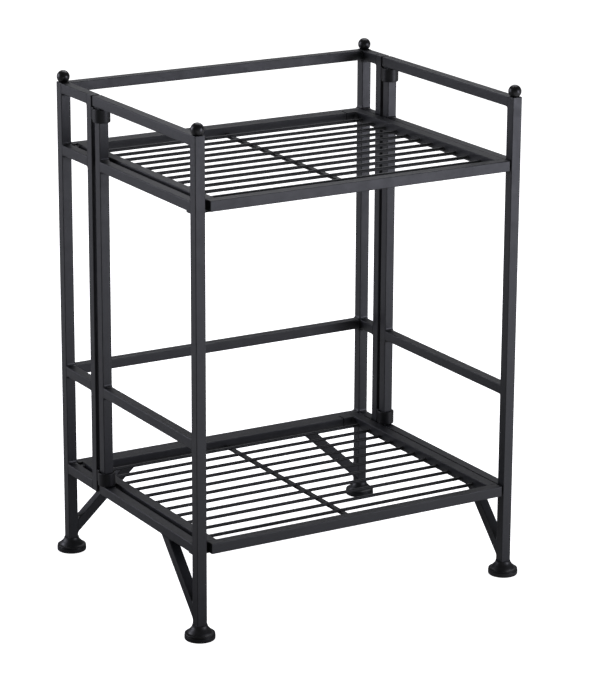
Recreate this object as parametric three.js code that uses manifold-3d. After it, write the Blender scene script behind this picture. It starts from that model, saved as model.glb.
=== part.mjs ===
// Folding two-tier side table in powder-coated square steel tube.
// Frame: millimetres, +Z up, +X to the right, the open front towards -Y.
// Origin: on the floor, at the middle of the footprint of the outer box.
import * as THREE from "three";
import { mergeVertices } from "three/addons/utils/BufferGeometryUtils.js";
import Module from "manifold-3d";

const wasm = await Module();
wasm.setup();

// ---- driving dimensions ---------------------------------------------------
const WIDTH_CC = 396; // posts, centre to centre, left to right
const DEPTH_CC = 315; // posts, centre to centre, front to back
const TOTAL_HEIGHT = 571.5; // floor to the top of the finial balls
const POST = 12; // square post tube
const RAIL = 11.5; // square rail tube
const SHELF = 12; // square shelf-frame tube
const WALL = 1.0; // tube wall
const CORNER = 0.9; // outer corner radius of the tubes

const POST_BOTTOM = 16; // the glides lift the posts by this much
const POST_TOP = 558.3;
const TOP_RAIL_Z = 546.5; // undersides of the four rail levels
const UPPER_RAIL_Z = 475.5;
const MID_RAIL_Z = 215;
const LOWER_RAIL_Z = 96.5;

const LEFT_STUB_Y = 83; // rear stub frames: centre line of the stub post
const RIGHT_STUB_Y = 116.5;
const LEFT_HINGE_Y = 63; // vertical hinge axes of the two side frames
const RIGHT_HINGE_Y = 99.5;
const LEFT_OVERHANG = 5; // top side rail, past its hinge tube
const RIGHT_OVERHANG = 2.5;
const LOW_OVERHANG = 2; // lower side rails; they turn past the shelf beside them

const COLLAR_HEIGHT = 15.5;
const COLLAR_RADIUS = 9.9;
const COLLAR_BORE = 8.1;
const COLLAR_GAP = 1; // between a collar and the rail next to it

const BRACE_FOOT_Z = 22; // where the underside of a brace meets its post
const SIDE_BRACE_RUN = 71.3; // horizontal run of a brace, along its rail
const BACK_BRACE_RUN = 82;

const SHELF_LIFT = 1.3; // shelf underside above the underside of its rail
const SHELF_HALF = 187.8; // half width of a shelf frame
const SHELF_AHEAD = 3.2; // front rail of a shelf ahead of the post faces
const SHELF_PIVOT_Y = 142; // hinge line of the shelves
const WIRE_COUNT = 11;
const WIRE_PITCH = 25;
const WIRE_RADIUS = 1.95;
const WIRE_Z = 4.2; // wire centre above the shelf underside
const BAR_WIDTH = 6; // flat bar under the wires, front to back
const BAR_BOTTOM = 0.3;
const BAR_TOP = 3.3;
const PIN_RADIUS = 2.5;

const BALL_RADIUS = 7.5;
const GLIDE_RADIUS = 17;

// ---- finishes ---------------------------------------------------------------
const steel = () =>
  new THREE.MeshStandardMaterial({
    color: 0x3a3c40,
    roughness: 0.55,
    metalness: 0.2,
  });
const darkSteel = () =>
  new THREE.MeshStandardMaterial({
    color: 0x2c2d30,
    roughness: 0.5,
    metalness: 0.25,
  });
const plastic = () =>
  new THREE.MeshStandardMaterial({
    color: 0x1d1d1f,
    roughness: 0.45,
    metalness: 0,
  });

// ---- solids -------------------------------------------------------------------
function solid(geometry) {
  const g = geometry.clone();
  g.deleteAttribute("normal");
  g.deleteAttribute("uv");
  const m = mergeVertices(g, 1e-4);
  return new wasm.Manifold(
    new wasm.Mesh({
      numProp: 3,
      vertProperties: new Float32Array(m.attributes.position.array),
      triVerts: new Uint32Array(m.index.array),
    }),
  );
}
function geometryOf(s) {
  const m = s.getMesh();
  const v = new Float32Array(m.numVert * 3);
  for (let i = 0; i < m.numVert; i++)
    v.set(m.vertProperties.subarray(i * m.numProp, i * m.numProp + 3), i * 3);
  const g = new THREE.BufferGeometry();
  g.setAttribute("position", new THREE.BufferAttribute(v, 3));
  g.setIndex(new THREE.BufferAttribute(new Uint32Array(m.triVerts), 1));
  g.computeVertexNormals();
  return g;
}
const union = (list) => list.reduce((a, b) => a.add(b));

// A rectangle with rounded corners, drawn counter-clockwise.
function section(w, h, r, steps = 3) {
  const pts = [];
  const corners = [
    [w / 2 - r, h / 2 - r, 0],
    [-w / 2 + r, h / 2 - r, 90],
    [-w / 2 + r, -h / 2 + r, 180],
    [w / 2 - r, -h / 2 + r, 270],
  ];
  for (const [cx, cy, a0] of corners) {
    const n = r > 0 ? steps : 0;
    for (let i = 0; i <= n; i++) {
      const a = ((a0 + (n ? (90 * i) / n : 0)) * Math.PI) / 180;
      pts.push(new THREE.Vector2(cx + r * Math.cos(a), cy + r * Math.sin(a)));
    }
  }
  return new THREE.Shape(pts);
}

// The extrusion axis of each tube: local z runs along the tube.
const BASIS = {
  x: new THREE.Matrix4().makeBasis(
    new THREE.Vector3(0, 1, 0),
    new THREE.Vector3(0, 0, 1),
    new THREE.Vector3(1, 0, 0),
  ),
  y: new THREE.Matrix4().makeBasis(
    new THREE.Vector3(0, 0, 1),
    new THREE.Vector3(1, 0, 0),
    new THREE.Vector3(0, 1, 0),
  ),
  z: new THREE.Matrix4(),
};

// A straight prism of a rounded square, along an axis, from a to b, centred on
// c = the other two coordinates in the order x, y, z.
function prism(axis, size, r, a, b, c, steps = 3) {
  const g = new THREE.ExtrudeGeometry(section(size, size, r, steps), {
    depth: b - a,
    bevelEnabled: false,
  });
  g.applyMatrix4(BASIS[axis]);
  const at = { x: [a, c[0], c[1]], y: [c[0], a, c[1]], z: [c[0], c[1], a] }[
    axis
  ];
  g.translate(...at);
  return solid(g);
}
// A square tube. An end is open unless it is named in closed ("a", "b").
function tube(axis, size, a, b, c, closed = "") {
  const outer = prism(axis, size, CORNER, a, b, c);
  const inner = prism(
    axis,
    size - 2 * WALL,
    0.6,
    closed.includes("a") ? a + WALL : a - 1,
    closed.includes("b") ? b - WALL : b + 1,
    c,
    1,
  );
  return outer.subtract(inner);
}
function box(x0, x1, y0, y1, z0, z1) {
  const g = new THREE.BoxGeometry(x1 - x0, y1 - y0, z1 - z0);
  g.translate((x0 + x1) / 2, (y0 + y1) / 2, (z0 + z1) / 2);
  return solid(g);
}
// A solid turned about a vertical line: profile points are [radius, z].
function turned(profile, segments, x = 0, y = 0) {
  const g = new THREE.LatheGeometry(
    profile.map(([r, z]) => new THREE.Vector2(r, z)),
    segments,
  );
  g.rotateX(Math.PI / 2);
  g.translate(x, y, 0);
  return solid(g);
}
// A round rod along x.
function rodX(r, x0, x1, y, z, segments) {
  const g = new THREE.CylinderGeometry(r, r, x1 - x0, segments);
  g.rotateY(Math.PI / segments);
  g.rotateZ(-Math.PI / 2);
  g.translate((x0 + x1) / 2, y, z);
  return solid(g);
}

const root = new THREE.Group();
root.name = "folding_side_table";
const groups = {};
function group(name, x, y, z) {
  const g = new THREE.Group();
  g.name = name;
  g.position.set(x, y, z);
  root.add(g);
  groups[name] = g;
  return g;
}
// Adds a piece, given in the part's own frame, to a group that may be shifted.
function piece(parent, name, s, material) {
  const g = geometryOf(s);
  g.computeBoundingBox();
  const c = g.boundingBox.getCenter(new THREE.Vector3());
  c.set(Math.round(c.x), Math.round(c.y), Math.round(c.z));
  g.translate(-c.x, -c.y, -c.z);
  const m = new THREE.Mesh(g, material);
  m.name = name;
  m.position.copy(c).sub(parent.position);
  parent.add(m);
}

const XL = -WIDTH_CC / 2,
  XR = WIDTH_CC / 2;
const YF = -DEPTH_CC / 2,
  YB = DEPTH_CC / 2;
const HP = POST / 2,
  HR = RAIL / 2;
const RAIL_LEVELS = {
  top: TOP_RAIL_Z,
  upper: UPPER_RAIL_Z,
  mid: MID_RAIL_Z,
  lower: LOWER_RAIL_Z,
};

// ---- posts, finials and glides ------------------------------------------------
function post(x, y) {
  const shell = prism("z", POST, CORNER, POST_BOTTOM, POST_TOP, [x, y]);
  const bore = prism(
    "z",
    POST - 2 * WALL,
    0.6,
    POST_BOTTOM - 1,
    POST_TOP - 1.5,
    [x, y],
    1,
  );
  const hole = turned(
    [
      [0, POST_TOP - 5],
      [4.3, POST_TOP - 5],
      [4.3, POST_TOP + 1],
      [0, POST_TOP + 1],
    ],
    12,
    x,
    y,
  );
  return shell.subtract(bore).subtract(hole);
}
function finial(x, y) {
  const zc = TOTAL_HEIGHT - BALL_RADIUS;
  const low = Math.asin((POST_TOP - zc) / BALL_RADIUS);
  const pts = [
    [0, POST_TOP - 12],
    [3.4, POST_TOP - 12],
    [4, POST_TOP - 10.5],
    [4, POST_TOP],
  ];
  const n = 9;
  for (let i = 0; i <= n; i++) {
    const a = low + ((Math.PI / 2 - low) * i) / n;
    pts.push([
      i === n ? 0 : BALL_RADIUS * Math.cos(a),
      zc + BALL_RADIUS * Math.sin(a),
    ]);
  }
  return turned(pts, 18, x, y);
}
function glide(x, y) {
  return turned(
    [
      [0, 0],
      [15.8, 0],
      [GLIDE_RADIUS, 1.2],
      [GLIDE_RADIUS, 7],
      [15.6, 8.8],
      [12.6, 10.4],
      [9, 14.2],
      [8.5, POST_BOTTOM],
      [4, POST_BOTTOM],
      [4, POST_BOTTOM + 12],
      [3.2, POST_BOTTOM + 13.5],
      [0, POST_BOTTOM + 13.5],
    ],
    24,
    x,
    y,
  );
}

// A diagonal strut between a post face (u = 0) and the underside of a rail,
// drawn in the plane of its frame: u runs along the rail, v is the height.
function strut(plane, u0, dir, across, run) {
  const gap = 0.3;
  const z0 = BRACE_FOOT_Z,
    z1 = LOWER_RAIL_Z - gap;
  const a = Math.atan2(z1 - z0, run - gap);
  const make = (inset, extend, half) => {
    const nx = -Math.sin(a),
      nz = Math.cos(a);
    const ux = Math.cos(a),
      uz = Math.sin(a);
    const t0 = inset,
      t1 = RAIL - inset;
    // Both long edges, cut by the post face and the rail face, then run past them.
    const at = (t, cut, end) => {
      const px = gap + nx * t,
        pz = z0 + nz * t;
      const s = cut === "post" ? (gap - px) / ux : (z1 - pz) / uz;
      const q = s + (end ? extend : -extend);
      return [px + ux * q, pz + uz * q];
    };
    const pts = [
      at(t0, "post", false),
      at(t0, "rail", true),
      at(t1, "rail", true),
      at(t1, "post", false),
    ];
    const shape = new THREE.Shape(
      pts.map(([u, v]) => new THREE.Vector2(dir * u, v)),
    );
    const g = new THREE.ExtrudeGeometry(shape, {
      depth: 2 * half,
      bevelEnabled: false,
    });
    // local x -> u, local y -> height, local z -> across the frame
    if (plane === "xz") {
      g.rotateX(Math.PI / 2);
      g.translate(u0, across + half, 0);
    } else {
      g.applyMatrix4(
        new THREE.Matrix4().makeBasis(
          new THREE.Vector3(0, 1, 0),
          new THREE.Vector3(0, 0, 1),
          new THREE.Vector3(1, 0, 0),
        ),
      );
      g.translate(across - half, u0, 0);
    }
    return solid(g);
  };
  return make(0, 0, HR).subtract(make(WALL, 4, HR - WALL));
}

// ---- rear frame -------------------------------------------------------------------
const back = group("back_frame", 0, YB, 0);
piece(back, "rear_post_left", post(XL, YB), steel());
piece(back, "rear_post_right", post(XR, YB), steel());
for (const [level, z] of Object.entries(RAIL_LEVELS))
  piece(
    back,
    "back_" + level + "_rail",
    tube("x", RAIL, XL + HP, XR - HP, [YB, z + HR]),
    steel(),
  );
piece(
  back,
  "back_brace_left",
  strut("xz", XL + HP, 1, YB, BACK_BRACE_RUN),
  steel(),
);
piece(
  back,
  "back_brace_right",
  strut("xz", XR - HP, -1, YB, BACK_BRACE_RUN),
  steel(),
);

// A stub frame: four short rails from the rear post to a stub post, one weldment.
function stubFrame(x, y) {
  const rear = YB - HP;
  const zs = Object.values(RAIL_LEVELS);
  const shells = [
    prism("z", RAIL, CORNER, LOWER_RAIL_Z, TOP_RAIL_Z + RAIL, [x, y]),
    ...zs.map((z) => prism("y", RAIL, CORNER, y, rear, [x, z + HR])),
  ];
  const bores = [
    prism(
      "z",
      RAIL - 2 * WALL,
      0.6,
      LOWER_RAIL_Z + WALL,
      TOP_RAIL_Z + RAIL - WALL,
      [x, y],
      1,
    ),
    ...zs.map((z) =>
      prism("y", RAIL - 2 * WALL, 0.6, y, rear + 1, [x, z + HR], 1),
    ),
  ];
  return union(shells).subtract(union(bores));
}
piece(back, "stub_frame_left", stubFrame(XL, LEFT_STUB_Y), steel());
piece(back, "stub_frame_right", stubFrame(XR, RIGHT_STUB_Y), steel());

// A hinge collar: a turned ring round the hinge tube, on a short web that is
// fixed to the front face of the stub post.
function collar(x, hingeY, stubY, z0) {
  const z1 = z0 + COLLAR_HEIGHT;
  const ring = turned(
    [
      [0, z0],
      [COLLAR_RADIUS - 0.6, z0],
      [COLLAR_RADIUS, z0 + 0.6],
      [COLLAR_RADIUS, z1 - 0.6],
      [COLLAR_RADIUS - 0.6, z1],
      [0, z1],
    ],
    24,
    x,
    hingeY,
  );
  const web = box(x - 5, x + 5, hingeY + 4, stubY - HR, z0 + 0.6, z1 - 0.6);
  const bore = turned(
    [
      [0, z0 - 1],
      [COLLAR_BORE, z0 - 1],
      [COLLAR_BORE, z1 + 1],
      [0, z1 + 1],
    ],
    24,
    x,
    hingeY,
  );
  return ring.add(web).subtract(bore);
}
const COLLAR_TOP_Z = TOP_RAIL_Z - COLLAR_GAP - COLLAR_HEIGHT;
const COLLAR_LOW_Z = LOWER_RAIL_Z + RAIL + COLLAR_GAP;
for (const [side, x, hy, sy] of [
  ["left", XL, LEFT_HINGE_Y, LEFT_STUB_Y],
  ["right", XR, RIGHT_HINGE_Y, RIGHT_STUB_Y],
]) {
  piece(
    back,
    "hinge_collar_" + side + "_top",
    collar(x, hy, sy, COLLAR_TOP_Z),
    darkSteel(),
  );
  piece(
    back,
    "hinge_collar_" + side + "_bottom",
    collar(x, hy, sy, COLLAR_LOW_Z),
    darkSteel(),
  );
}
piece(back, "finial_rear_left", finial(XL, YB), plastic());
piece(back, "finial_rear_right", finial(XR, YB), plastic());
piece(back, "glide_rear_left", glide(XL, YB), plastic());
piece(back, "glide_rear_right", glide(XR, YB), plastic());

// ---- side frames, each turning about its hinge tube -----------------------------------
for (const [side, x, hy, dir, overhang] of [
  ["left", XL, LEFT_HINGE_Y, 1, LEFT_OVERHANG],
  ["right", XR, RIGHT_HINGE_Y, -1, RIGHT_OVERHANG],
]) {
  const g = group(side + "_frame", x, hy, 0);
  const front = YF + HP; // rear face of the front post
  piece(g, side + "_front_post", post(x, YF), steel());
  piece(
    g,
    side + "_hinge_tube",
    tube("z", RAIL, LOWER_RAIL_Z + RAIL, TOP_RAIL_Z, [x, hy]),
    steel(),
  );
  for (const [level, z] of Object.entries(RAIL_LEVELS)) {
    const over = level === "top" || level === "lower";
    piece(
      g,
      side + "_" + level + "_rail",
      tube(
        "y",
        RAIL,
        front,
        over ? hy + HR + (level === "top" ? overhang : LOW_OVERHANG) : hy - HR,
        [x, z + HR],
        over ? "b" : "",
      ),
      steel(),
    );
  }
  piece(
    g,
    side + "_brace",
    strut("yz", front, 1, x, SIDE_BRACE_RUN),
    steel(),
  );
  piece(g, "finial_front_" + side, finial(x, YF), plastic());
  piece(g, "glide_front_" + side, glide(x, YF), plastic());
  // Rest lugs: small plates welded under the rails, stepped up under the shelf.
  for (const [level, z] of [
    ["upper", UPPER_RAIL_Z],
    ["lower", LOWER_RAIL_Z],
  ]) {
    const plate = (u0, u1, top) => {
      const a = x + dir * u0,
        b = x + dir * u1;
      return box(
        Math.min(a, b),
        Math.max(a, b),
        front + 0.6,
        front + 13,
        z - 3,
        z + top,
      );
    };
    piece(
      g,
      "shelf_rest_" + side + "_" + level,
      plate(-3.5, 19.5, 0).add(plate(7, 19.5, SHELF_LIFT - 0.3)),
      darkSteel(),
    );
  }
}

// ---- shelves, each turning up about its rear hinge line -----------------------------------
for (const [level, railZ] of [
  ["upper", UPPER_RAIL_Z],
  ["lower", LOWER_RAIL_Z],
]) {
  const z0 = railZ + SHELF_LIFT;
  const zc = z0 + SHELF / 2;
  const g = group(level + "_shelf", 0, SHELF_PIVOT_Y, zc);
  const frontY = YF - HP - SHELF_AHEAD;
  const frontC = frontY + SHELF / 2;
  const frontRear = frontY + SHELF;
  const side = SHELF_HALF - SHELF / 2;
  const inner = SHELF_HALF - SHELF;
  // The front rail is closed at both ends; its bore opens into the side members.
  let frontRail = tube(
    "x",
    SHELF,
    -SHELF_HALF,
    SHELF_HALF,
    [frontC, zc],
    "ab",
  );
  for (const s of [-1, 1])
    frontRail = frontRail.subtract(
      box(
        s * side - 3.5,
        s * side + 3.5,
        frontRear - 3,
        frontRear + 1,
        zc - 3.5,
        zc + 3.5,
      ),
    );
  piece(g, level + "_shelf_front_rail", frontRail, steel());
  piece(
    g,
    level + "_shelf_rear_rail",
    tube("x", SHELF, -inner, inner, [SHELF_PIVOT_Y, zc]),
    steel(),
  );
  for (const [name, s] of [
    ["left", -1],
    ["right", 1],
  ]) {
    // The side member, with the pivot hole through its outer wall.
    const member = tube(
      "y",
      SHELF,
      frontRear,
      SHELF_PIVOT_Y + SHELF / 2,
      [s * side, zc],
      "b",
    ).subtract(
      rodX(
        PIN_RADIUS + 0.4,
        s > 0 ? side : -SHELF_HALF - 1,
        s > 0 ? SHELF_HALF + 1 : -side,
        SHELF_PIVOT_Y,
        zc,
        16,
      ),
    );
    piece(g, level + "_shelf_side_" + name, member, steel());
    // The pivot pin: a shouldered pin fixed to the stub frame's rail.
    const face = s * (XR - HR);
    const shoulder = s * (SHELF_HALF + 0.3);
    const end = s * (SHELF_HALF - 8);
    const pin = rodX(
      4,
      Math.min(face, shoulder),
      Math.max(face, shoulder),
      SHELF_PIVOT_Y,
      zc,
      16,
    ).add(
      rodX(
        PIN_RADIUS,
        Math.min(shoulder + s, end),
        Math.max(shoulder + s, end),
        SHELF_PIVOT_Y,
        zc,
        16,
      ),
    );
    piece(back, "pivot_pin_" + level + "_" + name, pin, darkSteel());
  }
  // The grille: round wires welded on a flat bar.
  const wires = [];
  for (let i = 0; i < WIRE_COUNT; i++) {
    const y = ((WIRE_COUNT - 1) / 2 - i) * WIRE_PITCH;
    wires.push(rodX(WIRE_RADIUS, -inner, inner, y, z0 + WIRE_Z, 10));
  }
  const bar = box(
    -BAR_WIDTH / 2,
    BAR_WIDTH / 2,
    frontRear,
    SHELF_PIVOT_Y - SHELF / 2,
    z0 + BAR_BOTTOM,
    z0 + BAR_TOP,
  );
  piece(g, level + "_shelf_grille", union([bar, ...wires]), steel());
}

export default root;
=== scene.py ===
# Looks of the folding two-tier side table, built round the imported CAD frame.
import math
import random

import bmesh
import bpy
from mathutils import Matrix, Vector


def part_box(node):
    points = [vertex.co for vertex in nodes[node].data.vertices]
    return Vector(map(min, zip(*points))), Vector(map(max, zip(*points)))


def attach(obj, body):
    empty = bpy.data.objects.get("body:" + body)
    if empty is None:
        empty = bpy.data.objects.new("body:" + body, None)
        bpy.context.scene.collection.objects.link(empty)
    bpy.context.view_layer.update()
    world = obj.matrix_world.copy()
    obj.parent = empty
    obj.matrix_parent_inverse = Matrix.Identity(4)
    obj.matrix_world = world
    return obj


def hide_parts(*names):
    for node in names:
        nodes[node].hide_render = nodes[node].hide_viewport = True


MM = 0.001
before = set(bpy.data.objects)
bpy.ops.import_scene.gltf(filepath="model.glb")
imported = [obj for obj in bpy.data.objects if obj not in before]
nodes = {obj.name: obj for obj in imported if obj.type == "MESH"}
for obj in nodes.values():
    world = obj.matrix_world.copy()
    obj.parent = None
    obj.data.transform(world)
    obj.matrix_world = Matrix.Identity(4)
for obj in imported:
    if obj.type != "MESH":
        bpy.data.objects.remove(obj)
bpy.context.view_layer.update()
scene = bpy.context.scene


# ---- materials ---------------------------------------------------------------
def new_material(name):
    m = bpy.data.materials.new(name)
    m.use_nodes = True
    t = m.node_tree
    t.nodes.clear()
    out = t.nodes.new("ShaderNodeOutputMaterial")
    bsdf = t.nodes.new("ShaderNodeBsdfPrincipled")
    t.links.new(bsdf.outputs["BSDF"], out.inputs["Surface"])
    return m, t, bsdf


def noise(t, coord, scale, detail=2.0, rough=0.5):
    n = t.nodes.new("ShaderNodeTexNoise")
    n.inputs["Scale"].default_value = scale
    n.inputs["Detail"].default_value = detail
    n.inputs["Roughness"].default_value = rough
    t.links.new(coord.outputs["Object"], n.inputs["Vector"])
    return n


def ramp(t, source, stops):
    r = t.nodes.new("ShaderNodeValToRGB")
    e = r.color_ramp.elements
    while len(e) < len(stops):
        e.new(0.5)
    for el, (pos, col) in zip(e, stops):
        el.position = pos
        el.color = (*col, 1.0) if len(col) == 3 else (col[0], col[0], col[0], 1.0)
    t.links.new(source, r.inputs["Fac"])
    return r


def span(t, source, lo, hi, out_lo, out_hi):
    r = t.nodes.new("ShaderNodeMapRange")
    for k, v in zip(("From Min", "From Max", "To Min", "To Max"), (lo, hi, out_lo, out_hi)):
        r.inputs[k].default_value = v
    t.links.new(source, r.inputs["Value"])
    return r.outputs["Result"]


def powder_coat(name, dark, mid, light, rough, peel=0.35, spec=0.35, peel_scale=520.0):
    """Black polyester powder coat: orange peel of about two millimetres, fine
    mottling, and slow changes of colour and gloss along the tubes."""
    m, t, b = new_material(name)
    c = t.nodes.new("ShaderNodeTexCoord")
    slow = noise(t, c, 34.0, 3.0)
    fine = noise(t, c, 620.0, 2.0, 0.6)
    mix = t.nodes.new("ShaderNodeMix")
    mix.data_type = "FLOAT"
    mix.inputs["Factor"].default_value = 0.45
    t.links.new(slow.outputs["Fac"], mix.inputs["A"])
    t.links.new(fine.outputs["Fac"], mix.inputs["B"])
    col = ramp(t, mix.outputs["Result"], [(0.3, dark), (0.52, mid), (0.74, light)])
    t.links.new(col.outputs["Color"], b.inputs["Base Color"])
    patch = noise(t, c, 75.0, 4.0, 0.6)
    t.links.new(
        span(t, patch.outputs["Fac"], 0.3, 0.7, rough - 0.06, rough + 0.07),
        b.inputs["Roughness"],
    )
    peel_noise = noise(t, c, peel_scale, 1.0)
    grit = noise(t, c, 2300.0, 2.0, 0.7)
    add = t.nodes.new("ShaderNodeMath")
    add.operation = "MULTIPLY_ADD"
    add.inputs[1].default_value = 0.18
    t.links.new(grit.outputs["Fac"], add.inputs[0])
    t.links.new(peel_noise.outputs["Fac"], add.inputs[2])
    bump = t.nodes.new("ShaderNodeBump")
    bump.inputs["Strength"].default_value = peel
    bump.inputs["Distance"].default_value = 0.00012
    t.links.new(add.outputs["Value"], bump.inputs["Height"])
    t.links.new(bump.outputs["Normal"], b.inputs["Normal"])
    b.inputs["Metallic"].default_value = 0.0
    b.inputs["Specular IOR Level"].default_value = spec
    return m


def plastic(name, dark, light, rough, spec, grain, scuff):
    """Moulded black plastic: a fine even grain, faint swirls and dull scuffs."""
    m, t, b = new_material(name)
    c = t.nodes.new("ShaderNodeTexCoord")
    cloud = noise(t, c, 130.0, 3.0)
    col = ramp(t, cloud.outputs["Fac"], [(0.3, dark), (0.75, light)])
    t.links.new(col.outputs["Color"], b.inputs["Base Color"])
    scuffs = noise(t, c, 420.0, 5.0, 0.75)
    t.links.new(
        span(t, scuffs.outputs["Fac"], 0.45, 0.75, rough, rough + scuff),
        b.inputs["Roughness"],
    )
    fine = noise(t, c, 2600.0, 2.0, 0.6)
    bump = t.nodes.new("ShaderNodeBump")
    bump.inputs["Strength"].default_value = grain
    bump.inputs["Distance"].default_value = 0.00004
    t.links.new(fine.outputs["Fac"], bump.inputs["Height"])
    t.links.new(bump.outputs["Normal"], b.inputs["Normal"])
    b.inputs["Specular IOR Level"].default_value = spec
    return m


FRAME = powder_coat(
    "powder_coat_black",
    (0.0080, 0.0086, 0.0104),
    (0.0115, 0.0124, 0.0148),
    (0.0165, 0.0178, 0.0210),
    0.42,
    spec=0.5,
)
WIRE = powder_coat(
    "powder_coat_wire",
    (0.0080, 0.0084, 0.0092),
    (0.0110, 0.0115, 0.0126),
    (0.0160, 0.0167, 0.0182),
    0.46,
    peel=0.28,
)
HINGE = powder_coat(
    "hinge_black",
    (0.0055, 0.0057, 0.0062),
    (0.0080, 0.0082, 0.0090),
    (0.0115, 0.0119, 0.0130),
    0.42,
    peel=0.2,
    spec=0.35,
    peel_scale=800.0,
)
BALL = plastic(
    "finial_plastic_black", (0.0045, 0.0045, 0.0050), (0.0090, 0.0090, 0.0098), 0.30, 0.45, 0.12, 0.18
)
FOOT = plastic(
    "glide_plastic_black", (0.0085, 0.0086, 0.0092), (0.0150, 0.0152, 0.0160), 0.38, 0.42, 0.2, 0.22
)
MATERIALS = {
    "frame_steel": FRAME,
    "grille_wire": WIRE,
    "hinge_steel": HINGE,
    "finial_plastic": BALL,
    "glide_plastic": FOOT,
}


# ---- mesh helpers ----------------------------------------------------------------
CORNER = 0.9


def add_piece(name, bm, slot, body, replaced=(), sharp=38):
    bmesh.ops.recalc_face_normals(bm, faces=bm.faces)
    me = bpy.data.meshes.new(name)
    bm.to_mesh(me)
    bm.free()
    for p in me.polygons:
        p.use_smooth = True
    me.set_sharp_from_angle(angle=math.radians(sharp))
    o = bpy.data.objects.new(name, me)
    scene.collection.objects.link(o)
    me.materials.append(MATERIALS[slot])
    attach(o, body)
    if replaced:
        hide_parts(*replaced)
    shade = o.modifiers.new("shade", "WEIGHTED_NORMAL")
    shade.mode = "FACE_AREA_WITH_ANGLE"
    shade.weight = 60
    shade.keep_sharp = True
    return o


def rounded_square(w, h, r, n=5):
    """Points of a rounded rectangle, counter-clockwise, the same number for any size."""
    pts = []
    for cx, cy, a0 in (
        (w / 2 - r, h / 2 - r, 0),
        (-w / 2 + r, h / 2 - r, 90),
        (-w / 2 + r, -h / 2 + r, 180),
        (w / 2 - r, -h / 2 + r, 270),
    ):
        for i in range(n + 1):
            a = math.radians(a0 + 90 * i / n)
            pts.append((cx + r * math.cos(a), cy + r * math.sin(a)))
    return pts


def loop_verts(bm, origin, U, V, W, pts, plane_point, plane_normal, shift):
    """A section loop slid along W to a plane; shift moves it on along W."""
    out = []
    for u, v in pts:
        p = origin + U * u + V * v
        t = (plane_point - p).dot(plane_normal) / W.dot(plane_normal)
        out.append(bm.verts.new((p + W * (t + shift)) * MM))
    return out


def bridge(bm, a, b):
    n = len(a)
    for i in range(n):
        bm.faces.new((a[i], a[(i + 1) % n], b[(i + 1) % n], b[i]))


def tube(
    bm,
    origin,
    U,
    V,
    W,
    w,
    h,
    start,
    end,
    closed_start=False,
    closed_end=False,
    r=CORNER,
    wall=1.0,
    edge=0.45,
    edge_start=None,
    edge_end=None,
    grooves=(),
):
    """A rounded square tube as one closed skin. start and end are (point, normal) planes.
    grooves are (distance from the start, width, depth) bands let into the outside."""
    U, V, W, origin = Vector(U), Vector(V), Vector(W), Vector(origin)

    def loop(inset, plane, shift):
        rr = max(r - inset, 0.25)
        pts = rounded_square(w - 2 * inset, h - 2 * inset, rr)
        return loop_verts(bm, origin, U, V, W, pts, Vector(plane[0]), Vector(plane[1]), shift)

    es = edge if edge_start is None else edge_start
    ee = edge if edge_end is None else edge_end
    loops = []
    # outside, from the start to the end
    for k in range(4):
        a = math.pi / 2 * k / 3
        loops.append(loop(es * (1 - math.sin(a)), start, es * (1 - math.cos(a))))
    for at, width, depth in grooves:
        for inset, s in (
            (0, at - width / 2 - 0.15),
            (0.12, at - width / 2),
            (depth, at - width / 2 + 0.1),
            (depth, at + width / 2 - 0.1),
            (0.12, at + width / 2),
            (0, at + width / 2 + 0.15),
        ):
            loops.append(loop(inset, start, s))
    for k in range(4):
        a = math.pi / 2 * k / 3
        loops.append(loop(ee * (1 - math.cos(a)), end, -ee * (1 - math.sin(a))))
    for a, b in zip(loops, loops[1:]):
        bridge(bm, a, b)
    first, last = loops[0], loops[-1]
    if closed_start and closed_end:
        bm.faces.new(list(reversed(first)))
        bm.faces.new(last)
        return
    e2 = 0.15
    inner = []
    if not closed_end:
        inner += [loop(wall - e2, end, 0), loop(wall, end, -e2)]
    else:
        bm.faces.new(last)
        inner += [loop(wall, end, -wall)]
    if not closed_start:
        inner += [loop(wall, start, e2), loop(wall - e2, start, 0)]
    else:
        inner += [loop(wall, start, wall)]
    for a, b in zip(inner, inner[1:]):
        bridge(bm, a, b)
    if closed_end:
        bm.faces.new(list(reversed(inner[0])))
    else:
        bridge(bm, last, inner[0])
    if closed_start:
        bm.faces.new(inner[-1])
        bm.faces.new(list(reversed(first)))
    else:
        bridge(bm, inner[-1], first)


AXES = {
    "x": (Vector((0, 1, 0)), Vector((0, 0, 1)), Vector((1, 0, 0))),
    "y": (Vector((0, 0, 1)), Vector((1, 0, 0)), Vector((0, 1, 0))),
    "z": (Vector((1, 0, 0)), Vector((0, 1, 0)), Vector((0, 0, 1))),
}


def straight(bm, axis, a, b, c, size, **k):
    """A tube along an axis from a to b; c is its centre in the other two axes, in x, y, z order."""
    U, V, W = AXES[axis]
    at = {"x": (0, c[0], c[1]), "y": (c[0], 0, c[1]), "z": (c[0], c[1], 0)}[axis]
    tube(bm, at, U, V, W, size, size, (W * a, W), (W * b, W), **k)


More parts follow.
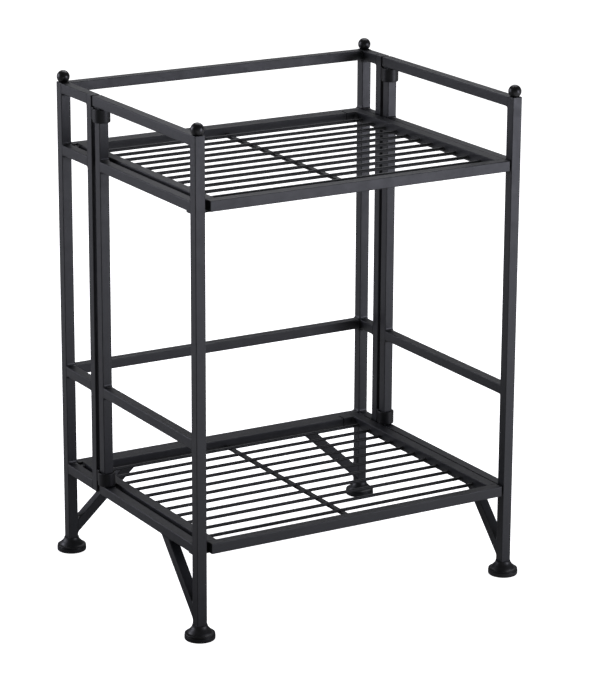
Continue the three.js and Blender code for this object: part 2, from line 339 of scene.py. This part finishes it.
def weld(bm, c0, c1, u, v, leg_u, leg_v=None, seed=0, full=0.16, round_end=1.3):
    """A fillet weld along the corner line c0 to c1: u and v lead away from the corner
    along the two faces. It is a concave bead with faint ripples, sunk a little in both."""
    rnd = random.Random(seed * 7919 + 13)
    leg_v = leg_u if leg_v is None else leg_v
    c0, c1, u, v = Vector(c0), Vector(c1), Vector(u).normalized(), Vector(v).normalized()
    along = c1 - c0
    length = along.length
    along.normalize()
    out = (u + v).normalized()
    n_len = max(8, int(length / 0.7))
    n_arc = 7
    phase = rnd.random() * 6.28
    wob = [rnd.uniform(-1, 1) for _ in range(6)]
    rings = []
    for i in range(n_len + 1):
        s = length * i / n_len
        edge = min(s, length - s)
        k = 1.0 if edge >= round_end else math.sqrt(max(0.0, 1 - (1 - edge / round_end) ** 2))
        k = 0.30 + 0.70 * k
        f = i / n_len * 5
        j = min(int(f), 4)
        slow = wob[j] + (wob[j + 1] - wob[j]) * (f - j)
        ripple = 0.035 * math.sin(s * 2 * math.pi / 1.7 + phase)
        size = k * (1 + 0.05 * slow + ripple)
        base = c0 + along * s
        sunk = base - out * 0.45
        p0 = base + u * (leg_u * size)
        p2 = base + v * (leg_v * size)
        ctrl = base + out * (full * min(leg_u, leg_v) * size)
        ring = [bm.verts.new((p0 - v * 0.3 * 1) * MM)]
        for q in range(n_arc + 1):
            t = q / n_arc
            p = p0 * (1 - t) ** 2 + ctrl * (2 * t * (1 - t)) + p2 * t**2
            ring.append(bm.verts.new(p * MM))
        ring.append(bm.verts.new((p2 - u * 0.3) * MM))
        ring.append(bm.verts.new(sunk * MM))
        rings.append(ring)
    for a, b in zip(rings, rings[1:]):
        bridge(bm, a, b)
    bm.faces.new(list(reversed(rings[0])))
    bm.faces.new(rings[-1])


def lathe(bm, profile, segments, at=(0, 0), axis="z"):
    """Turns (radius, height) points, in mm, round a vertical line, or round a line along x."""

    def place(r, h, a):
        if axis == "z":
            return Vector((at[0] + r * math.cos(a), at[1] + r * math.sin(a), h)) * MM
        return Vector((h, at[0] + r * math.cos(a), at[1] + r * math.sin(a))) * MM

    rows = []
    for r, h in profile:
        if r < 1e-6:
            rows.append([bm.verts.new(place(0, h, 0))])
        else:
            rows.append(
                [bm.verts.new(place(r, h, 2 * math.pi * i / segments)) for i in range(segments)]
            )
    for a, b in zip(rows, rows[1:]):
        if len(a) == 1 and len(b) == 1:
            continue
        for i in range(segments):
            j = (i + 1) % segments
            if len(a) == 1:
                bm.faces.new((a[0], b[j], b[i]))
            elif len(b) == 1:
                bm.faces.new((a[i], a[j], b[0]))
            else:
                bm.faces.new((a[i], a[j], b[j], b[i]))
    return rows


def arc(cx, cy, r, a0, a1, n):
    return [
        (
            cx + r * math.cos(math.radians(a0 + (a1 - a0) * i / n)),
            cy + r * math.sin(math.radians(a0 + (a1 - a0) * i / n)),
        )
        for i in range(n + 1)
    ]


def slab(bm, x0, x1, y0, y1, z0, z1, r=0.5, seg=3):
    """A plate with all its edges rounded."""
    part = bmesh.new()
    bmesh.ops.create_cube(part, size=1)
    for v in part.verts:
        v.co = Vector(
            (
                (x0 + x1) / 2 + v.co.x * (x1 - x0),
                (y0 + y1) / 2 + v.co.y * (y1 - y0),
                (z0 + z1) / 2 + v.co.z * (z1 - z0),
            )
        ) * MM
    bmesh.ops.bevel(
        part, geom=part.edges[:], offset=r * MM, segments=seg, profile=0.5, affect="EDGES"
    )
    me = bpy.data.meshes.new("tmp")
    part.to_mesh(me)
    part.free()
    bm.from_mesh(me)
    bpy.data.meshes.remove(me)


def mm_box(node):
    lo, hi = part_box(node)
    return lo * 1000, hi * 1000


# ---- sizes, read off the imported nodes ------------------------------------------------
lo, hi = mm_box("rear_post_right")
POST = hi.x - lo.x
POST_Z0, POST_Z1 = lo.z, hi.z
XP, YB = (lo.x + hi.x) / 2, (lo.y + hi.y) / 2
lo, hi = mm_box("right_front_post")
YF = (lo.y + hi.y) / 2
HP = POST / 2
RAIL_Z = {}
for level in ("top", "upper", "mid", "lower"):
    lo, hi = mm_box(f"back_{level}_rail")
    RAIL_Z[level] = lo.z
    RAIL = hi.z - lo.z
HR = RAIL / 2
HINGE_Y, STUB_Y = {}, {}
for side in ("left", "right"):
    lo, hi = mm_box(f"{side}_hinge_tube")
    HINGE_Y[side] = (lo.y + hi.y) / 2
    lo, hi = mm_box(f"stub_frame_{side}")
    STUB_Y[side] = lo.y + HR
X, Y, Z = Vector((1, 0, 0)), Vector((0, 1, 0)), Vector((0, 0, 1))
seed = 0


def next_seed():
    global seed
    seed += 1
    return seed


def rail_welds(bm, axis, at, direction, c, z, under=3.4, over=3.4):
    """Fillet welds under and over a level rail whose end meets a face at the coordinate
    `at`; direction is +1 or -1, the way the rail leads off; c is the rail's centre across."""
    along = (X if axis == "x" else Y) * direction
    cross = Y if axis == "x" else X
    for leg, height, up in ((under, z, -1), (over, z + RAIL, 1)):
        if not leg:
            continue
        base = (X if axis == "x" else Y) * at + cross * c + Z * height
        weld(
            bm,
            base - cross * (HR - 0.1),
            base + cross * (HR - 0.1),
            Z * up,
            along,
            leg,
            leg * 0.9,
            next_seed(),
        )


# ---- posts ---------------------------------------------------------------------------
def post(name, node, x, y, body):
    bm = bmesh.new()
    straight(bm, "z", POST_Z0, POST_Z1, (x, y), POST, closed_end=True, edge_end=0.6, edge_start=0.2)
    add_piece(name, bm, "frame_steel", body, [node])


# ---- braces --------------------------------------------------------------------------
FOOT_Z = 22.0


def brace(name, node, plane, u0, direction, across, run, body):
    """A slanting strut from a post face to the underside of the lower rail, with its welds."""
    bm = bmesh.new()
    gap = 0.3
    z0, z1 = FOOT_Z, RAIL_Z["lower"] - gap
    a = math.atan2(z1 - z0, run - gap)
    along = (X if plane == "xz" else Y) * direction
    cross = Y if plane == "xz" else X
    W = along * math.cos(a) + Z * math.sin(a)
    N = -along * math.sin(a) + Z * math.cos(a)  # across the strut, upwards
    base = (X if plane == "xz" else Y) * u0 + cross * across
    low = base + along * gap + Z * z0
    origin = low + N * HR
    C = N.cross(W)
    tube(
        bm,
        origin,
        N,
        W.cross(N),
        W,
        RAIL,
        RAIL,
        (base + along * 0.05, along),
        (base + Z * (RAIL_Z["lower"] - 0.05), Z),
        edge=0.1,
    )
    half = HR - 0.1
    # the acute corner above the strut and the blunt one below it, at the post
    up_z = z0 + RAIL / math.cos(a)
    c = base + Z * up_z
    weld(bm, c - cross * half, c + cross * half, Z, W, 5.0, 5.0, next_seed(), full=0.3)
    c = base + Z * z0
    weld(bm, c - cross * half, c + cross * half, -Z, W, 3.6, 4.2, next_seed(), full=0.0)
    # and at the rail: the strut's two sides meet its underside here
    t_low = run - gap + gap
    c = base + along * t_low + Z * RAIL_Z["lower"]
    weld(bm, c - cross * half, c + cross * half, along, -W, 3.2, 3.6, next_seed(), full=0.0)
    c = base + along * (t_low - RAIL / math.sin(a)) + Z * RAIL_Z["lower"]
    weld(bm, c - cross * half, c + cross * half, -along, -W, 4.4, 4.4, next_seed(), full=0.3)
    add_piece(name, bm, "frame_steel", body, [node])


# ---- finials and glides ----------------------------------------------------------------
def finial(name, node, x, y, body):
    lo, hi = mm_box(node)
    r = (hi.x - lo.x) / 2
    zc = hi.z - r
    low = math.degrees(math.asin((POST_Z1 + 0.55 - zc) / r))
    profile = [
        (0.0, POST_Z1 - 3.0),
        (4.1, POST_Z1 - 3.0),
        (4.1, POST_Z1 - 0.2),
        (4.75, POST_Z1 + 0.02),
        (4.85, POST_Z1 + 0.25),
        (4.6, POST_Z1 + 0.45),
    ]
    profile += [
        (max(p, 0.0), q) for p, q in arc(0, zc, r, low, 90, 22)
    ]
    profile[-1] = (0.0, zc + r)
    bm = bmesh.new()
    lathe(bm, profile, 48, (x, y))
    add_piece(name, bm, "finial_plastic", body, [node], sharp=60)


def glide(name, node, x, y, body):
    lo, hi = mm_box(node)
    R = (hi.x - lo.x) / 2
    profile = [(0.0, 0.9), (9.0, 0.9), (9.8, 0.0)]
    profile += [(R - 1.5, 0.0)] + arc(R - 1.5, 1.5, 1.5, -75, 0, 4)
    profile += [(R, 4.6)] + arc(R - 0.45, 4.8, 0.45, 10, 75, 3)
    profile += [(R - 1.05, 5.35), (R - 1.1, 5.65)]
    profile += arc(R - 0.95, 6.55, 0.7, -50, 30, 5)
    profile += [(R - 0.75, 7.25), (R - 1.6, 7.75), (R - 2.7, 8.0)]
    profile += [(R - 3.25, 8.1), (R - 3.4, 8.45), (R - 3.7, 9.0)]
    profile += [(R - 4.5, 9.95), (R - 5.6, 11.1), (R - 6.8, 12.4), (R - 7.7, 13.7), (R - 8.2, 14.8)]
    profile += [(R - 8.5, POST_Z0 + 0.2), (4.0, POST_Z0 + 0.2), (4.0, POST_Z0 + 8), (0.0, POST_Z0 + 8)]
    bm = bmesh.new()
    lathe(bm, profile, 72, (x, y))
    add_piece(name, bm, "glide_plastic", body, [node], sharp=50)


# ---- rear frame ----------------------------------------------------------------------------
for side, x in (("left", -XP), ("right", XP)):
    post(f"post_rear_{side}_v", f"rear_post_{side}", x, YB, "back_frame")
    finial(f"finial_rear_{side}_v", f"finial_rear_{side}", x, YB, "back_frame")
    glide(f"glide_rear_{side}_v", f"glide_rear_{side}", x, YB, "back_frame")
for level, z in RAIL_Z.items():
    bm = bmesh.new()
    inner = XP - HP
    straight(bm, "x", -inner, inner, (YB, z + HR), RAIL, edge=0.1)
    over = 0.0 if level == "top" else 3.8
    for s in (-1, 1):
        rail_welds(bm, "x", s * inner, -s, YB, z, 3.6, over)
    add_piece(f"back_{level}_rail_v", bm, "frame_steel", "back_frame", [f"back_{level}_rail"])
BACK_RUN = 82.0
SIDE_RUN = 71.3
brace("back_brace_left_v", "back_brace_left", "xz", -XP + HP, 1, YB, BACK_RUN, "back_frame")
brace("back_brace_right_v", "back_brace_right", "xz", XP - HP, -1, YB, BACK_RUN, "back_frame")

for side, x in (("left", -XP), ("right", XP)):
    bm = bmesh.new()
    sy = STUB_Y[side]
    straight(
        bm,
        "z",
        RAIL_Z["lower"],
        RAIL_Z["top"] + RAIL,
        (x, sy),
        RAIL,
        closed_start=True,
        closed_end=True,
        edge=0.8,
    )
    for level, z in RAIL_Z.items():
        straight(bm, "y", sy + HR, YB - HP, (x, z + HR), RAIL, edge=0.1)
        under = 0.0 if level == "lower" else 3.2
        over = 0.0 if level == "top" else 3.2
        rail_welds(bm, "y", sy + HR, 1, x, z, under, over)
        rail_welds(bm, "y", YB - HP, -1, x, z, 3.2, over)
    add_piece(f"stub_frame_{side}_v", bm, "frame_steel", "back_frame", [f"stub_frame_{side}"])

    # Hinge collars: a turned ring with rounded lips, on a web welded to the stub post.
    for end in ("top", "bottom"):
        node = f"hinge_collar_{side}_{end}"
        lo, hi = mm_box(node)
        hy = HINGE_Y[side]
        R = hy - lo.y
        bore = 8.0
        z0, z1 = lo.z, hi.z
        bm = bmesh.new()
        outer = (
            [(bore + 0.5, z0)]
            + arc(R - 1.1, z0 + 1.1, 1.1, -90, 0, 4)
            + arc(R - 0.9, z1 - 0.9, 0.9, 0, 90, 4)
            + [(bore + 0.5, z1), (bore, z1 - 0.5), (bore, z0 + 0.5), (bore + 0.5, z0)]
        )
        rows = lathe(bm, outer[:-1], 48, (x, hy))
        bridge(bm, rows[-1], rows[0])
        slab(bm, x - 5.0, x + 5.0, hy + 8.6, sy - HR + 0.2, z0 + 0.6, z1 - 0.6, 0.6)
        for s in (-1, 1):
            c = Vector((x + s * 5.0, sy - HR, 0))
            weld(
                bm,
                c + Z * (z0 + 0.9),
                c + Z * (z1 - 0.9),
                X * s,
                -Y,
                0.6,
                2.0,
                next_seed(),
            )
        add_piece(f"{node}_v", bm, "hinge_steel", "back_frame", [node])

# ---- side frames ---------------------------------------------------------------------------
for side, x, d in (("left", -XP, 1), ("right", XP, -1)):
    body = f"{side}_frame"
    hy = HINGE_Y[side]
    face = YF + HP
    post(f"post_front_{side}_v", f"{side}_front_post", x, YF, body)
    finial(f"finial_front_{side}_v", f"finial_front_{side}", x, YF, body)
    glide(f"glide_front_{side}_v", f"glide_front_{side}", x, YF, body)
    bm = bmesh.new()
    straight(bm, "z", RAIL_Z["lower"] + RAIL, RAIL_Z["top"], (x, hy), RAIL, edge=0.1)
    add_piece(f"{side}_hinge_tube_v", bm, "frame_steel", body, [f"{side}_hinge_tube"])
    for level, z in RAIL_Z.items():
        bm = bmesh.new()
        through = level in ("top", "lower")
        b = mm_box(f"{side}_{level}_rail")[1].y
        straight(
            bm, "y", face, b, (x, z + HR), RAIL, closed_end=through, edge_start=0.1,
            edge_end=0.8 if through else 0.1,
        )
        big = 4.2 if level == "top" else 3.4
        rail_welds(bm, "y", face, 1, x, z, big, 0.0 if level == "top" else 3.4)
        if not through:
            rail_welds(bm, "y", hy - HR, -1, x, z, 3.2, 3.2)
        add_piece(f"{side}_{level}_rail_v", bm, "frame_steel", body, [f"{side}_{level}_rail"])
    brace(f"{side}_brace_v", f"{side}_brace", "yz", face, 1, x, SIDE_RUN, body)
    for level in ("upper", "lower"):
        node = f"shelf_rest_{side}_{level}"
        lo, hi = mm_box(node)
        bm = bmesh.new()
        slab(bm, lo.x, hi.x, lo.y, hi.y, lo.z, hi.z - 1.0, 0.7)
        a, b = (-XP + 7.0, hi.x) if d > 0 else (lo.x, XP - 7.0)
        slab(bm, a, b, lo.y, hi.y, lo.z, hi.z, 0.7)
        add_piece(f"{node}_v", bm, "hinge_steel", body, [node])

# ---- shelves -------------------------------------------------------------------------------
WIRES = 11
PITCH = 25.0
for level in ("upper", "lower"):
    body = f"{level}_shelf"
    lo, hi = mm_box(f"{level}_shelf_front_rail")
    size = hi.z - lo.z
    z0, zc = lo.z, (lo.z + hi.z) / 2
    fc = (lo.y + hi.y) / 2
    rear_face = hi.y
    bm = bmesh.new()
    straight(bm, "x", lo.x, hi.x, (fc, zc), size, closed_start=True, closed_end=True, edge=0.8)
    add_piece(f"{level}_front_rail_v", bm, "frame_steel", body, [f"{level}_shelf_front_rail"])

    slo, shi = mm_box(f"{level}_shelf_side_right")
    inner, outer_x = slo.x, shi.x
    rlo, rhi = mm_box(f"{level}_shelf_rear_rail")
    rc = (rlo.y + rhi.y) / 2
    bm = bmesh.new()
    straight(
        bm,
        "x",
        rlo.x,
        rhi.x,
        (rc, zc),
        size,
        edge=0.1,
        grooves=((15.0, 1.6, 0.95), (rhi.x - rlo.x - 15.0, 1.6, 0.95)),
    )
    add_piece(f"{level}_rear_rail_v", bm, "frame_steel", body, [f"{level}_shelf_rear_rail"])
    for side, s in (("left", -1), ("right", 1)):
        bm = bmesh.new()
        straight(
            bm,
            "y",
            rear_face,
            rhi.y,
            (s * (inner + outer_x) / 2, zc),
            size,
            closed_end=True,
            edge_start=0.1,
            edge_end=0.8,
        )
        for c, u, v, leg in (
            ((s * inner, rear_face), -X * s, Y, 3.4),
            ((s * outer_x, rear_face), X * s, Y, 2.6),
            ((s * inner, rlo.y), -X * s, -Y, 3.4),
        ):
            p = Vector((*c, 0))
            weld(bm, p + Z * (z0 + 0.3), p + Z * (z0 + size - 0.3), u, v, leg, leg, next_seed())
        add_piece(f"{level}_side_{side}_v", bm, "frame_steel", body, [f"{level}_shelf_side_{side}"])

    # The grille: round wires let into the side members by small welds, over a flat bar.
    glo, ghi = mm_box(f"{level}_shelf_grille")
    wire_r = 1.95
    wz = ghi.z - wire_r
    bm = bmesh.new()
    rnd = random.Random(41 if level == "upper" else 87)
    for i in range(WIRES):
        y = ((WIRES - 1) / 2 - i) * PITCH
        n1, n2 = rnd.uniform(2.5, 3.0), rnd.uniform(2.5, 3.0)
        half = inner
        profile = [
            (0.0, -half - 0.2),
            (n1 + 0.2, -half - 0.2),
            (n1, -half + 0.25),
            (n1 * 0.80, -half + 0.9),
            (wire_r + 0.12, -half + 2.0),
            (wire_r, -half + 2.8),
            (wire_r, half - 2.8),
            (wire_r + 0.12, half - 2.0),
            (n2 * 0.80, half - 0.9),
            (n2, half - 0.25),
            (n2 + 0.2, half + 0.2),
            (0.0, half + 0.2),
        ]
        lathe(bm, profile, 20, (y, wz), axis="x")
    # the flat bar, welded to each wire
    slab(bm, -3.0, 3.0, rear_face - 0.2, rlo.y + 0.2, z0 + 0.3, z0 + 3.3, 0.45)
    for i in range(WIRES):
        y = ((WIRES - 1) / 2 - i) * PITCH
        for s in (-1, 1):
            p = Vector((0, y + s * 1.6, z0 + 3.3))
            weld(bm, p - X * 2.8, p + X * 2.8, Y * s, Z, 1.3, 1.2, next_seed(), full=0.3, round_end=1.2)
    for yy, s in ((rear_face, 1), (rlo.y, -1)):
        p = Vector((0, yy, z0 + 3.3))
        weld(bm, p - X * 3.2, p + X * 3.2, Z, Y * s, 2.4, 2.2, next_seed(), full=0.45)
    add_piece(f"{level}_grille_v", bm, "grille_wire", body, [f"{level}_shelf_grille"])

    # Pivot pins: a shouldered pin with a domed washer against the shelf.
    for side, s in (("left", -1), ("right", 1)):
        node = f"pivot_pin_{level}_{side}"
        plo, phi = mm_box(node)
        a, b = (plo.x, phi.x) if s > 0 else (phi.x, plo.x)
        cap = s * outer_x + s * 0.3
        out = XP - HR
        bm = bmesh.new()
        profile = [
            (0.0, s * (out - 0.02)),
            (4.6, s * (out - 0.02)),
            (4.6, s * (out - 0.7)),
            (4.0, s * (out - 1.0)),
            (4.0, cap + s * 1.1),
            (4.9, cap + s * 0.9),
            (5.2, cap + s * 0.6),
            (5.2, cap + s * 0.15),
            (4.9, cap),
            (2.5, cap),
            (2.5, s * (outer_x - 8.0)),
            (0.0, s * (outer_x - 8.0)),
        ]
        lathe(bm, profile, 32, ((plo.y + phi.y) / 2, (plo.z + phi.z) / 2), axis="x")
        add_piece(f"{node}_v", bm, "hinge_steel", "back_frame", [node])

# ---- floor, light and camera -------------------------------------------------------------------
m, t, b = new_material("studio_floor")
b.inputs["Roughness"].default_value = 0.9
b.inputs["Specular IOR Level"].default_value = 0.1
path = t.nodes.new("ShaderNodeLightPath")
mixc = t.nodes.new("ShaderNodeMix")
mixc.data_type = "RGBA"
# Camera rays see an even white floor. All other rays see painted light and shade: a pale painted pool of
# light in front and to the right, painted shadow beneath the table, and a dim painted glow behind.
coord = t.nodes.new("ShaderNodeTexCoord")
lead = t.nodes.new("ShaderNodeVectorMath")
lead.operation = "DOT_PRODUCT"
lead.inputs[1].default_value = (0.5, -0.86, 0.0)
t.links.new(coord.outputs["Object"], lead.inputs[0])
painted_light_coord = t.nodes.new("ShaderNodeMapRange")
for k, v in (("From Min", -1.2), ("From Max", 1.2)):
    painted_light_coord.inputs[k].default_value = v
t.links.new(lead.outputs["Value"], painted_light_coord.inputs["Value"])
# painted shade beneath the table and a painted pool of light to the front right, seen by all but camera
# rays
shade = ramp(
    t,
    painted_light_coord.outputs["Result"],
    [(0.0, (0.32,)), (0.34, (0.30,)), (0.48, (0.10,)), (0.56, (0.26,)), (0.70, (0.75,)), (1.0, (0.88,))],
)
t.links.new(shade.outputs["Color"], mixc.inputs["A"])
mixc.inputs["B"].default_value = (0.95, 0.95, 0.95, 1)
t.links.new(path.outputs["Is Camera Ray"], mixc.inputs["Factor"])
t.links.new(mixc.outputs["Result"], b.inputs["Base Color"])
t.links.new(mixc.outputs["Result"], b.inputs["Emission Color"])
# the floor glows with this painted light for all but camera rays, standing in for a lamp; camera rays
# see an even bright floor
glow = t.nodes.new("ShaderNodeMapRange")
glow.inputs["To Min"].default_value = 0.38
glow.inputs["To Max"].default_value = 1.1
t.links.new(path.outputs["Is Camera Ray"], glow.inputs["Value"])
t.links.new(glow.outputs["Result"], b.inputs["Emission Strength"])
bm = bmesh.new()
bmesh.ops.create_grid(bm, x_segments=8, y_segments=8, size=30.0)
me = bpy.data.meshes.new("floor")
bm.to_mesh(me)
bm.free()
floor = bpy.data.objects.new("floor", me)
floor.location = (0, 0, -0.0002)
me.materials.append(m)
scene.collection.objects.link(floor)

world = bpy.data.worlds.new("studio")
scene.world = world
world.use_nodes = True
wt = world.node_tree
bg = wt.nodes["Background"]
bg.inputs["Color"].default_value = (1.0, 1.0, 1.0, 1.0)
wpath = wt.nodes.new("ShaderNodeLightPath")
level_in = wt.nodes.new("ShaderNodeMapRange")
level_in.inputs["To Min"].default_value = 0.1
level_in.inputs["To Max"].default_value = 1.05
wt.links.new(wpath.outputs["Is Camera Ray"], level_in.inputs["Value"])
wt.links.new(level_in.outputs["Result"], bg.inputs["Strength"])


def area(name, location, target, size, power, color=(1, 1, 1)):
    light = bpy.data.lights.new(name, "AREA")
    light.shape = "RECTANGLE"
    light.size, light.size_y = size
    light.energy = power
    light.color = color
    o = bpy.data.objects.new(name, light)
    o.location = location
    d = Vector(target) - Vector(location)
    o.rotation_mode = "QUATERNION"
    o.rotation_quaternion = d.to_track_quat("-Z", "Y")
    o.visible_camera = False
    scene.collection.objects.link(o)
    return o


area("key", (1.5, -2.25, 0.55), (0.05, 0.0, 0.2), (1.5, 1.1), 27.0, (0.925, 0.93, 1.09))
area("side", (-1.9, 1.5, 0.95), (0.0, 0.0, 0.3), (1.5, 1.4), 27.0, (0.93, 0.935, 1.08))
area("top", (0.8, 1.0, 2.2), (0.05, 0.0, 0.3), (1.8, 1.8), 26.0, (0.96, 0.965, 1.02))

cam_data = bpy.data.cameras.new("camera")
cam = bpy.data.objects.new("camera", cam_data)
scene.collection.objects.link(cam)
yaw, pitch, roll = math.radians(30.167), math.radians(16.266), math.radians(-0.186)
forward = Vector(
    (math.sin(yaw) * math.cos(pitch), math.cos(yaw) * math.cos(pitch), -math.sin(pitch))
)
right = Vector((math.cos(yaw), -math.sin(yaw), 0))
up = right.cross(forward)
right, up = (
    right * math.cos(roll) - up * math.sin(roll),
    up * math.cos(roll) + right * math.sin(roll),
)
basis = Matrix((right, up, -forward)).transposed().to_4x4()
basis.translation = Vector((-1.603521, -2.756994, 1.216213))
cam.matrix_world = basis
cam_data.sensor_fit = "AUTO"
cam_data.sensor_width = 36.0
cam_data.lens = 2927.088 / 700.0 * 36.0
cam_data.shift_x = 15.0 / 700.0
cam_data.shift_y = -25.0 / 700.0
cam_data.clip_start, cam_data.clip_end = 0.1, 60.0
scene.camera = cam

scene.view_settings.view_transform = "Standard"
scene.view_settings.look = "None"
scene.view_settings.exposure = 0.0
scene.view_settings.gamma = 1.0
